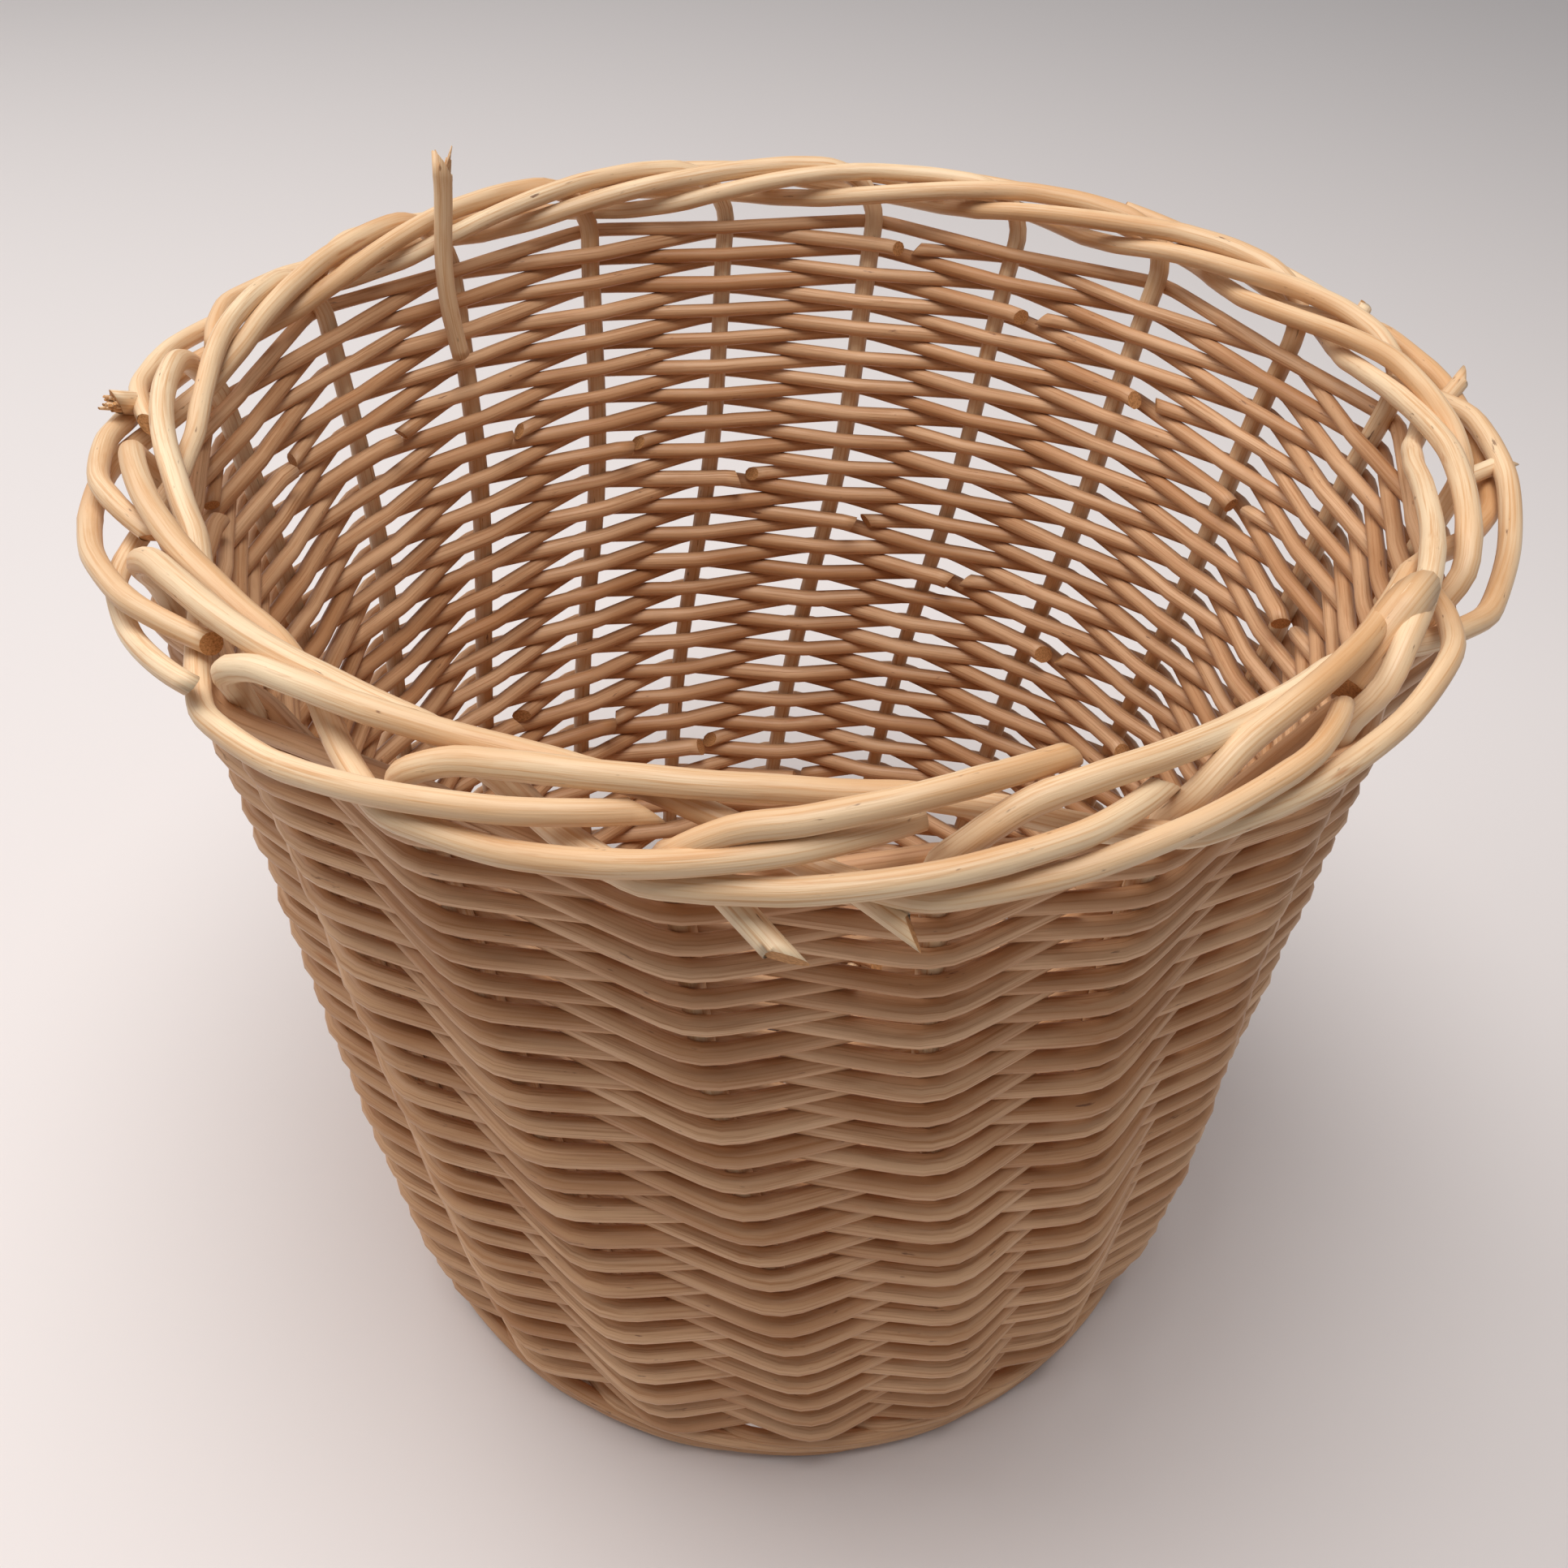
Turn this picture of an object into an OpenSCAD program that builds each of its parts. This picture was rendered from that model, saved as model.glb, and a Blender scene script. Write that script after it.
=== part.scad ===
// Round tapered basket of peeled willow: a pierced-stick base, twenty stakes that lean round the
// wall and are turned down into a rolled border, a wale at the foot and rows of randing between.

/* [Overall] */
// Height from the floor to the top of the border
height = 232; // [200:1:285]
// Radius of the ring of stakes at the floor
foot_r = 95; // [80:1:112]
// Radius of the ring of stakes at the top
mouth_r = 127; // [110:1:150]
// How far the wall swells out low down and draws in under the border
wall_swell = 3; // [0:0.5:5]
// How far each stake leans round the basket on its way up, in degrees
stake_lean = 15.5; // [0:0.1:20]

/* [Rods] */
// Diameter of a stake
stake_d = 4.3; // [3:0.1:5.5]
// Thickness of a weaving rod
weaver_d = 3.3; // [2.4:0.1:4]
// Diameter of a base stick
stick_d = 6; // [5:0.1:7]
// Free space round a rod where it passes through the weave
rod_clearance = 0.3; // [0.1:0.05:0.6]

/* [Weave] */
// Rows of randing in one band of the siding
band_rows = 6; // [4:1:8]
// How many times taller the lowest row is than the top one
row_growth = 1.5; // [1:0.05:2]
// Height of the wale at the foot
wale_h = 14; // [14:0.5:20]

/* [Border] */
// Stake spaces that one turned-down stake covers
border_run = 5; // [4.6:0.05:5]
// How far the broken stub stands above the border
stub_rise = 17; // [5:1:30]
// Where the broken stub stands, in stake spaces round from the first stake
stub_place = 8.2; // [0:0.1:19.9]

/* [Base] */
// Height of the sticks' centre line above the floor
base_z = 8.5; // [8:0.1:12]
// Radius at which the base weave starts, round the crossed sticks
slath_r = 24; // [20:1:30]
// How far the stakes are pushed into the base
butt_len = 32; // [20:1:40]

/* [Hidden] */

// The source has one line for each stake, band and stick, so these counts go with those lines
stakes = 20;
bands = 8;
step = 360 / stakes;
// Angle of the first stake at the floor
first_stake = 7.5;
// Angle of the first base stick, midway between two stakes
first_stick = first_stake - step / 2;

stake_r = stake_d / 2;
bore_r = stake_r + rod_clearance;
stick_r = stick_d / 2;
// The base sticks are cut thin where they cross in the slath
through_stick_d = 0.62 * stick_d;
slit_h = through_stick_d + 0.3;
pierced_gap = stick_d + 0.8;
through_gap = through_stick_d + 0.7;
stick_reach = foot_r - 8;
// Of the ten ends, counted round from the first stick, those of the two that pass through the rest
through_ends = [2, 3, 7, 8];
function stick_end_r(k) = len(search(k, through_ends)) > 0 ? through_stick_d / 2 : stick_r;

wall_half = stake_r + weaver_d;
base_t = stick_d + weaver_d - 0.3;
// Heights and widths in the border are counted in rods: the top one, and how far the lowest dips
rise_to_top = 1.9;
dip = 0.48;
border_h = (rise_to_top + dip + 1) * stake_d + 0.4;
border_side = 1.94 * stake_d;
groove = 0.8;
// The stakes bend up inside the wale, so it is never lower than their bend
bend_in = 1.5;
bend_rise = 1.8;
bend_room = 1.2;
siding_low = max(wale_h, base_z + bend_rise + bore_r + bend_room);
siding_high = height - border_h;
rows = bands * band_rows;
mean_row = (siding_high - siding_low) / rows;
top_row = 2 * mean_row / (1 + row_growth);
low_row = top_row * row_growth;
band_gap = 0.1;

// Where the stakes turn up out of the base
turn_up_in = 7;
base_weave_r = foot_r - turn_up_in - 1;
border_r = mouth_r - 1.5;
rod_sides = 8;
willow = "burlywood";
shaded_willow = "tan";

// Radius of the stakes' ring at height z, and how far round the stakes have leant there
function ring_r(z) = let (t = z / height)
  foot_r + (mouth_r - foot_r) * t + wall_swell * 10.4 * t * (1 - t) * (1 - 2 * t);
function lean(z) = -stake_lean * z / height;
function on_ring(r, angle, z) = [r * cos(angle), r * sin(angle), z];
function on_wall(angle, z) = on_ring(ring_r(z), angle + lean(z), z);

// Height of the bottom of row k, counted from the lowest
function row_z(k) = siding_low + low_row * k - (low_row - top_row) * k * k / (2 * rows);

// A smooth curve through points: each stretch between two of them is cut into n parts
function blend(a, b, c, d, t) = 0.5 * ((2 * b) + (c - a) * t
  + (2 * a - 5 * b + 4 * c - d) * t * t + (3 * b - a - 3 * c + d) * t * t * t);
function smooth(p, n) = let (last = len(p) - 1) [
  for (i = [0:last - 1]) for (j = [0:n - 1])
    blend(p[max(i - 1, 0)], p[i], p[i + 1], p[min(i + 2, last)], j / n),
  p[last]];

// A rod swept along a path of points
function unit(v) = v / norm(v);
function along(p, i) = unit(p[min(i + 1, len(p) - 1)] - p[max(i - 1, 0)]);
function square_to(t, v) = unit(v - t * (t * v));
function sides_of(p, first) = [
  for (i = 0, s = square_to(along(p, 0), first); i < len(p);
       i = i + 1, s = i < len(p) ? square_to(along(p, i), s) : s) s];

module rod(path, r, first = [0, 0, 1]) {
  n = rod_sides;
  side = sides_of(path, first);
  rings = len(path);
  points = [for (i = [0:rings - 1]) let (t = along(path, i), u = side[i], v = cross(t, u))
    for (k = [0:n - 1]) path[i] + r * (u * cos(360 * k / n) + v * sin(360 * k / n))];
  walls = [for (i = [0:rings - 2]) for (k = [0:n - 1])
    let (a = i * n + k, b = i * n + (k + 1) % n) [a, a + n, b + n, b]];
  start_cap = [for (k = [0:n - 1]) k];
  end_cap = [for (k = [n - 1:-1:0]) (rings - 1) * n + k];
  polyhedron(points, concat(walls, [start_cap, end_cap]));
}

// The border: how far out (in rods' widths of the border) and how high (in rods) a stake's top
// runs, against the stake spaces that it has covered. It passes inside the next two stakes, out
// beneath the rods that lie on it, in front of two stakes, and in behind the fifth.
border_keys = [[0.05, 0.14, 0.4], [0.25, -0.06, 1.6], [0.6, -0.27, rise_to_top],
  [1, -0.5, rise_to_top], [1.5, -0.8, 1.65], [2, -0.97, 1.2], [2.35, -0.72, 0.5],
  [2.65, -0.05, -0.2], [3, 0.82, -dip], [3.5, 1.05, 0], [4, 1.02, 0.75], [4.5, 0.72, 1.15],
  [4.75, 0.15, 1], [5, -0.45, 0.75]];
border_low = height - stake_r - rise_to_top * stake_d;
function border_point(angle, key) = on_ring(border_r + border_side * key[1],
  angle + lean(siding_high) + step * key[0], border_low + stake_d * key[2]);
function run_key(t) = [t, lookup(t, [for (k = border_keys) [k[0], k[1]]]),
  lookup(t, [for (k = border_keys) [k[0], k[2]]])];
border_stops = concat([for (k = border_keys) if (k[0] < border_run - 0.1) k[0]], [border_run]);

module stake(i) {
  angle = first_stake + step * i;
  butt = [on_ring(foot_r - turn_up_in - butt_len, angle, base_z),
    on_ring(foot_r - turn_up_in, angle, base_z)];
  bend = [on_ring(foot_r - bend_in, angle, base_z + bend_rise)];
  wall = [for (t = [0:0.125:1]) on_wall(angle, siding_low + (siding_high - siding_low) * t)];
  border = [for (t = border_stops) border_point(angle, run_key(t))];
  color(willow) rod(concat(butt, bend, wall, smooth(border, 2)), stake_r);
}

// Closed band of the wall, grooved between the rows, with a bore for each stake
module siding(band) {
  first_row = band * band_rows;
  z_low = row_z(first_row) + band_gap / 2;
  z_high = row_z(first_row + band_rows) - band_gap / 2;
  edges = [for (k = [0:band_rows - 1]) let (a = row_z(first_row + k), b = row_z(first_row + k + 1))
    each [[max(a, z_low), groove], [a + (b - a) / 3, 0], [a + (b - a) * 2 / 3, 0],
      if (k == band_rows - 1) [z_high, groove]]];
  outside = [for (e = edges) [ring_r(e[0]) + wall_half - e[1], e[0]]];
  inside = [for (k = [len(edges) - 1:-1:0]) let (e = edges[k])
    [ring_r(e[0]) - wall_half + e[1], e[0]]];
  color(shaded_willow) bored(stakes, z_low, z_high)
    rotate_extrude($fn = 120) polygon(concat(outside, inside));
}

// Its child with the bores of the first `count` stakes, cut one after another
module bored(count, z_low, z_high) {
  if (count == 0) children();
  else difference() {
    bored(count - 1, z_low, z_high) children();
    stake_bore(first_stake + step * (count - 1), z_low, z_high);
  }
}

// Straight bore along a stake's line, from just below z_low to just above z_high
module stake_bore(angle, z_low, z_high) {
  over = 2;
  // Keeps the bore's seam line out of the plane that the stake leans in
  seam_turn = 37;
  a = on_wall(angle, z_low);
  b = on_wall(angle, z_high);
  run = b - a;
  way = unit(run);
  start = a - way * over;
  translate(start)
    rotate([0, acos(way[2]), atan2(way[1], way[0])])
      rotate(seam_turn) cylinder(h = norm(run) + 2 * over, r = bore_r, $fn = 32);
}

// The foot: rods wound round the turned-up stakes, with a flat lower edge to stand on
module foot_wale() {
  lip_h = base_z - bore_r - 0.3;
  lip_in = base_weave_r + 0.4;
  skin_in = ring_r(siding_low) + bore_r + 0.3;
  turn = (siding_low - band_gap) / 3;
  wale_proud = 0.8;
  function out(z) = ring_r(z) + wall_half + wale_proud;
  outside = [[out(0) - 3, 0], for (k = [0:2]) each [[out(turn * k), turn * (k + 0.3)],
    [out(turn * k), turn * (k + 0.7)], [out(turn * k) - groove, turn * (k + 1)]]];
  skin_slope = 3;
  inside = [[skin_in, siding_low - band_gap], [skin_in - skin_slope, lip_h], [lip_in, lip_h],
    [lip_in, lip_h - 2], [lip_in + 2, 0]];
  color(willow) rotate_extrude($fn = 120) polygon(concat(outside, inside));
}

// The base: concentric rows woven on the ends of the sticks
module base_weave() {
  z_low = base_z - base_t / 2;
  z_high = base_z + base_t / 2;
  ridge = 0.7;
  turns = round((base_weave_r - slath_r) / 4.4);
  pitch = (base_weave_r - slath_r) / turns;
  rim_in = slath_r + 0.01;
  top = [for (k = [turns - 1:-1:0]) let (r = slath_r + pitch * k)
    each [[r + pitch * 0.7, z_high], [r + pitch * 0.3, z_high], [max(r, rim_in), z_high - ridge]]];
  bottom = [for (k = [0:turns - 1]) let (r = slath_r + pitch * k)
    each [[max(r, rim_in), z_low + ridge], [r + pitch * 0.3, z_low], [r + pitch * 0.7, z_low]]];
  edge = [[base_weave_r, z_low + ridge], [base_weave_r, z_high - ridge]];
  color(shaded_willow) difference() {
    rotate_extrude($fn = 120) polygon(concat(bottom, edge, top));
    for (k = [0:9]) rotate(first_stick + 36 * k) translate([slath_r - 5, 0, base_z])
      rotate([0, 90, 0]) cylinder(h = base_weave_r, r = stick_end_r(k) + rod_clearance, $fn = 32);
    for (i = [0:stakes - 1]) rotate(first_stake + step * i)
      translate([foot_r - turn_up_in - butt_len - 1, 0, base_z])
        rotate([0, 90, 0]) cylinder(h = butt_len + 20, r = bore_r, $fn = 32);
  }
}

// One base stick: straight through the slath at a sideways offset, its ends spread to two angles
module stick(across, offset, end_1, end_2, r) {
  mid = rotated([0, offset, 0], across);
  way = rotated([1, 0, 0], across);
  straight = pierced_gap * 1.7;
  inner = slath_r - 1;
  at = first_stick;
  function end(a, radius) = on_ring(radius, a + at, base_z);
  up = [0, 0, base_z];
  path = [end(end_1, stick_reach), end(end_1, inner), mid - way * straight + up,
    mid + way * straight + up, end(end_2, inner), end(end_2, stick_reach)];
  rod(path, r);
}
function rotated(v, a) = let (b = a + first_stick)
  [v[0] * cos(b) - v[1] * sin(b), v[0] * sin(b) + v[1] * cos(b), v[2]];

// A pierced stick has a slit for the two sticks that pass through it
module pierced_stick(offset, end_1, end_2) {
  color(willow) difference() {
    stick(0, offset, end_1, end_2, stick_r);
    translate([0, 0, base_z]) rotate(first_stick) translate([0, offset, 0])
      cube([2 * through_gap + 1, stick_d + 1, slit_h], center = true);
  }
}

module through_stick(side, end_1, end_2) {
  color(willow) stick(90, side * through_gap / 2, end_1, end_2, through_stick_d / 2);
}

// A stake that snapped off above the border, beside one of the others at the back
module broken_stub() {
  angle = first_stake + step * stub_place;
  inner = border_r - border_side - stake_d - 1;
  below = 18;
  foot = ring_r(siding_high - below) - wall_half - stake_r - 0.6;
  color(willow) rod([on_ring(foot, angle + lean(siding_high), siding_high - below),
    on_ring(inner, angle + lean(height), height - border_h / 2),
    on_ring(inner + 0.5, angle + lean(height), height + stub_rise)], stake_r);
}

pierced_stick(-pierced_gap, 216, 324);  // base_stick_1
pierced_stick(0, 180, 0);  // base_stick_2
pierced_stick(pierced_gap, 144, 36);  // base_stick_3
through_stick(1, 252, 108);  // base_stick_4
through_stick(-1, 288, 72);  // base_stick_5
base_weave();
foot_wale();
siding(0);  // siding_1
siding(1);  // siding_2
siding(2);  // siding_3
siding(3);  // siding_4
siding(4);  // siding_5
siding(5);  // siding_6
siding(6);  // siding_7
siding(7);  // siding_8
stake(0);  // stake_01
stake(1);  // stake_02
stake(2);  // stake_03
stake(3);  // stake_04
stake(4);  // stake_05
stake(5);  // stake_06
stake(6);  // stake_07
stake(7);  // stake_08
stake(8);  // stake_09
stake(9);  // stake_10
stake(10);  // stake_11
stake(11);  // stake_12
stake(12);  // stake_13
stake(13);  // stake_14
stake(14);  // stake_15
stake(15);  // stake_16
stake(16);  // stake_17
stake(17);  // stake_18
stake(18);  // stake_19
stake(19);  // stake_20
broken_stub();
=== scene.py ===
"""A round basket of peeled willow: woven wall, rolled border, waled foot and pierced-stick base.

Every rod is a real tube that passes in front of and behind the stakes it is woven on.
"""
import math
import random

import bpy
import numpy as np
from bpy.props import FloatProperty, FloatVectorProperty, IntProperty, PointerProperty
from mathutils import Matrix, Vector


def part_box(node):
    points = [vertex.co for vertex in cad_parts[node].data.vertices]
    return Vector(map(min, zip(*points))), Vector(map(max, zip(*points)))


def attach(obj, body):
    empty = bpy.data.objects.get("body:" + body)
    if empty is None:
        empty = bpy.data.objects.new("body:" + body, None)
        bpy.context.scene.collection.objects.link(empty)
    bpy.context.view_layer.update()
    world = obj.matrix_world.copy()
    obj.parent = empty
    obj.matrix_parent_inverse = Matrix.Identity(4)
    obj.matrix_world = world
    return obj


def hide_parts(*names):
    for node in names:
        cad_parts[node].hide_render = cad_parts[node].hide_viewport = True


bl_info = {
    "name": "Willow Basket",
    "version": (1, 0, 0),
    "blender": (4, 5, 0),
    "location": "View3D > Sidebar > Basket",
    "description": "Weaves a round basket of peeled willow rods on a fixed frame",
    "category": "Add Mesh",
}

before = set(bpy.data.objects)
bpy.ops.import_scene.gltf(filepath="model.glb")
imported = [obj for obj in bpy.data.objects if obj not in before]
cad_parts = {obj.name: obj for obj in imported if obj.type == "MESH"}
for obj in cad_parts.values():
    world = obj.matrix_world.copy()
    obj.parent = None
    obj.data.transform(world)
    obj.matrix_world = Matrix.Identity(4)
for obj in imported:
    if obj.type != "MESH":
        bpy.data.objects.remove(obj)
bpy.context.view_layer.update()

MM = 0.001
BODY = "root"
STAKES = 20
BANDS = 8
BASE_STICKS = 5
STEP = 2 * math.pi / STAKES
# How far inside the ring of stakes a stake starts to turn up
TURN_UP_IN = 7 * MM
# Where a stake is in the middle of that bend: how far inside the ring, and how far above its butt
BEND_IN = 1.5 * MM
BEND_RISE = 1.8 * MM
UP = np.array([0.0, 0.0, 1.0])


def linear(hex_colour):
    """An sRGB hex colour as linear red, green and blue."""
    parts = [int(hex_colour[i:i + 2], 16) / 255 for i in (0, 2, 4)]
    return tuple(p / 12.92 if p <= 0.04045 else ((p + 0.055) / 1.055) ** 2.4 for p in parts)


def length(name, description, default_mm):
    return FloatProperty(name=name, description=description, default=default_mm * MM,
                         unit="LENGTH", subtype="DISTANCE")


def colour(name, description, hex_colour):
    return FloatVectorProperty(name=name, description=description, default=linear(hex_colour),
                               size=3, min=0, max=1, subtype="COLOR")


class BasketSizes(bpy.types.PropertyGroup):
    """Sizes of the rods and of the round shape that they are woven to."""

    foot_r: length("Foot radius", "Radius of the ring of stakes at the floor", 95)
    mouth_r: length("Mouth radius", "Radius of the ring of stakes at the top", 127)
    wall_swell: length("Wall swell", "How far the wall swells out low down", 3)
    stake_lean: FloatProperty(name="Stake lean", description="How far a stake leans round on its way up",
                              default=math.radians(15.5), subtype="ANGLE", unit="ROTATION")
    first_stake: FloatProperty(name="First stake", description="Angle of the first stake at the floor",
                               default=math.radians(7.5), subtype="ANGLE", unit="ROTATION")
    stake_d: length("Stake thickness", "Thickness of a stake at the wall", 4.3)
    stick_d: length("Base stick thickness", "Thickness of a base stick", 6)
    wale_d: length("Wale rod thickness", "Thickness of the rods wound round the foot", 3.7)
    base_weaver_d: length("Base weaver thickness", "Thickness of the rods woven into the base", 3.2)
    butt_len: length("Butt length", "How far a stake is pushed into the base", 32)
    slath_r: length("Slath radius", "Radius at which the base weave starts", 24)
    row_growth: FloatProperty(name="Row growth", description="How many times taller the lowest row is "
                              "than the top one", default=1.5, min=1, max=2)
    band_rows: IntProperty(name="Rows in a band", description="Rows of weaving in one band",
                           default=6, min=4, max=8)
    border_run: FloatProperty(name="Border run", description="Stake spaces that a turned-down stake covers",
                              default=5, min=4.6, max=5.2)
    tightness: FloatProperty(name="Tightness", description="Thickness of a weaver against its row",
                             default=1.03, min=0.7, max=1.05)


class BasketColours(bpy.types.PropertyGroup):
    """Colours of the willow and of the studio floor; the weaver colours hold painted shade."""

    cream: colour("Cream", "Palest part of a peeled rod", "EDD3AE")
    tan: colour("Tan", "Darker streaks of a peeled rod", "CB955F")
    # Weaver pale and weaver dark are cream and tan made darker and browner: painted shade on the woven rods.
    shaded_weaver_pale: colour("Weaver pale", "Palest part of a weaving rod", "DDB187")
    shaded_weaver_dark: colour("Weaver dark", "Darker streaks of a weaving rod", "AD7443")
    knot: colour("Knot", "Buds, knots and bruises", "5E2D14")
    stain: colour("Stain", "Rusty stain where bark was left", "B5713A")
    pith: colour("Pith", "Soft core seen at a cut end", "9A6A3C")
    floor: colour("Floor", "Studio paper under the basket", "E9E3E1")


class BasketView(bpy.types.PropertyGroup):
    """Where the camera stands, and how strong the light is."""

    place: FloatVectorProperty(name="Camera place", description="Where the camera stands",
                               default=(0.0085, -0.2855, 0.3715), size=3, subtype="TRANSLATION")
    pitch: FloatProperty(name="Pitch", description="How far the camera looks down",
                         default=0.7064, subtype="ANGLE", unit="ROTATION")
    yaw: FloatProperty(name="Yaw", description="How far the camera looks to the right",
                       default=-0.036, subtype="ANGLE", unit="ROTATION")
    roll: FloatProperty(name="Roll", description="How far the camera is tipped on its side",
                        default=0.0235, subtype="ANGLE", unit="ROTATION")
    lens: FloatProperty(name="Lens", description="Focal length on a 36 mm wide sensor",
                        default=36.35, unit="CAMERA")
    key_power: FloatProperty(name="Key power", description="Power of the big soft light at the left, "
                             "in watts", default=11.0)
    top_power: FloatProperty(name="Top power", description="Power of the soft light overhead, in watts",
                             default=8.5)
    fill: FloatProperty(name="Fill", description="Strength of the light from all round", default=0.31)


# ---------------------------------------------------------------- the basket's round shape

SIDING_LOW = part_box("siding_1")[0][2]
SIDING_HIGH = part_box("siding_8")[1][2]
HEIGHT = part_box("stake_01")[1][2]
BASE_Z = (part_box("base_weave")[0][2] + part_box("base_weave")[1][2]) / 2


def sizes():
    return bpy.context.scene.basket_sizes


def ring_r(z):
    """Radius of the ring of stakes at a height."""
    s = sizes()
    t = z / HEIGHT
    return s.foot_r + (s.mouth_r - s.foot_r) * t + s.wall_swell * 10.4 * t * (1 - t) * (1 - 2 * t)


def stake_angle(i, z):
    """Angle of stake i at a height, with the small unevenness of work done by eye."""
    s = sizes()
    rng = random.Random(100 + i % STAKES)
    t = z / HEIGHT
    uneven = math.radians(rng.uniform(-1.1, 1.1) + rng.uniform(-0.8, 0.8) * math.sin(3 * t))
    # Most of the lean is in the middle of the wall; near the border a stake stands up straighter
    leant = t + 0.12 * math.exp(-((t - 0.66) / 0.2) ** 2)
    return s.first_stake + STEP * i + uneven - s.stake_lean * leant


def row_z(k):
    """Height of the bottom of row k, counted from the lowest."""
    s = sizes()
    rows = BANDS * s.band_rows
    top_row = 2 * (SIDING_HIGH - SIDING_LOW) / rows / (1 + s.row_growth)
    low_row = top_row * s.row_growth
    return SIDING_LOW + low_row * k - (low_row - top_row) * k * k / (2 * rows)


def at(r, angle, z):
    return np.array([r * math.cos(angle), r * math.sin(angle), z])


def unit(v):
    return v / np.linalg.norm(v)


# ---------------------------------------------------------------- rods

class Rod:
    """One rod: a path, its thickness along it, and where its grain and tone start."""

    def __init__(self, path, radius, seed, sides=12, up=None, slant=(0.3, 0.6)):
        self.path = np.array(path, float)
        n = len(self.path)
        self.radius = np.full(n, radius, float) if np.isscalar(radius) else np.array(radius, float)
        self.rng = random.Random(seed)
        self.sides = sides
        self.up = up
        self.slant = slant

    def travel(self):
        steps = np.linalg.norm(np.diff(self.path, axis=0), axis=1)
        return np.concatenate([[0], np.cumsum(steps)])

    def swell_at_buds(self, spacing=45 * MM, height=0.05):
        """Small swellings where buds grew, and a slow unevenness between them."""
        s = self.travel()
        scale = np.ones_like(s)
        place = self.rng.uniform(0, spacing)
        while place < s[-1]:
            scale += height * self.rng.uniform(0.4, 1.3) * np.exp(-((s - place) / (2.2 * MM)) ** 2)
            place += spacing * self.rng.uniform(0.6, 1.4)
        scale += 0.02 * np.sin(s / (17 * MM) + self.rng.uniform(0, 6))
        self.radius = self.radius * scale
        return self

    def frames(self):
        """Two directions square to the path at every point."""
        way = np.gradient(self.path, axis=0)
        way /= np.linalg.norm(way, axis=1)[:, None]
        if self.up is not None:
            first = np.cross(way, self.up)
            first /= np.linalg.norm(first, axis=1)[:, None]
            return way, first, np.cross(way, first)
        start = np.cross(way[0], UP) if abs(way[0][2]) < 0.9 else np.cross(way[0], [1.0, 0, 0])
        side = [unit(start)]
        for t in way[1:]:
            side.append(unit(side[-1] - t * np.dot(t, side[-1])))
        first = np.array(side)
        return way, first, np.cross(way, first)

    def mesh(self):
        """Points, wall faces, end faces and the grain coordinates of each point."""
        n, m = len(self.path), self.sides
        way, first, second = self.frames()
        turn = np.linspace(0, 2 * math.pi, m, endpoint=False)
        cos, sin = np.cos(turn)[None, :, None], np.sin(turn)[None, :, None]
        out = first[:, None] * cos + second[:, None] * sin
        points = self.path[:, None] + out * self.radius[:, None, None]
        for ring, amount in ((0, self.slant[0]), (-1, self.slant[1])):
            tip = self.rng.uniform(0, 2 * math.pi)
            lengthen = np.cos(turn - tip) * amount * self.radius[ring]
            points[ring] += way[ring] * lengthen[:, None]
        s = self.travel()
        grain = np.zeros((n, m, 3))
        grain[..., 0] = s[:, None] + self.rng.uniform(0, 30)
        grain[..., 1] = np.cos(turn)[None] * self.radius[:, None] + self.rng.uniform(0, 3)
        grain[..., 2] = np.sin(turn)[None] * self.radius[:, None] + self.rng.uniform(0, 3)
        index = np.arange(n * m).reshape(n, m)
        after = np.roll(index, -1, axis=1)
        walls = np.stack([index[:-1], after[:-1], after[1:], index[1:]], -1).reshape(-1, 4)
        return points.reshape(-1, 3), walls, (index[0][::-1], index[-1]), grain.reshape(-1, 3)


def eased(points, passes):
    """The same path with its corners softened and its ends kept."""
    p = np.array(points, float)
    for _ in range(passes):
        p[1:-1] = (p[:-2] + 2 * p[1:-1] + p[2:]) / 4
    return p


def resampled(points, spacing):
    """Points at an even spacing along a path."""
    p = np.array(points, float)
    s = np.concatenate([[0], np.cumsum(np.linalg.norm(np.diff(p, axis=0), axis=1))])
    count = max(2, int(round(s[-1] / spacing)) + 1)
    new = np.linspace(0, s[-1], count)
    return np.stack([np.interp(new, s, p[:, i]) for i in range(3)], 1)


def wobble(path, amount, seed, wavelength=70 * MM):
    """The slow, small wander of a rod that was bent by hand."""
    rng = random.Random(seed)
    s = np.concatenate([[0], np.cumsum(np.linalg.norm(np.diff(path, axis=0), axis=1))])
    out = path.copy()
    for axis in range(3):
        wave = np.sin(s / wavelength * 2 * math.pi * rng.uniform(0.7, 1.3) + rng.uniform(0, 6.3))
        out[:, axis] += amount * rng.uniform(0.4, 1) * wave
    return out


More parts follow.
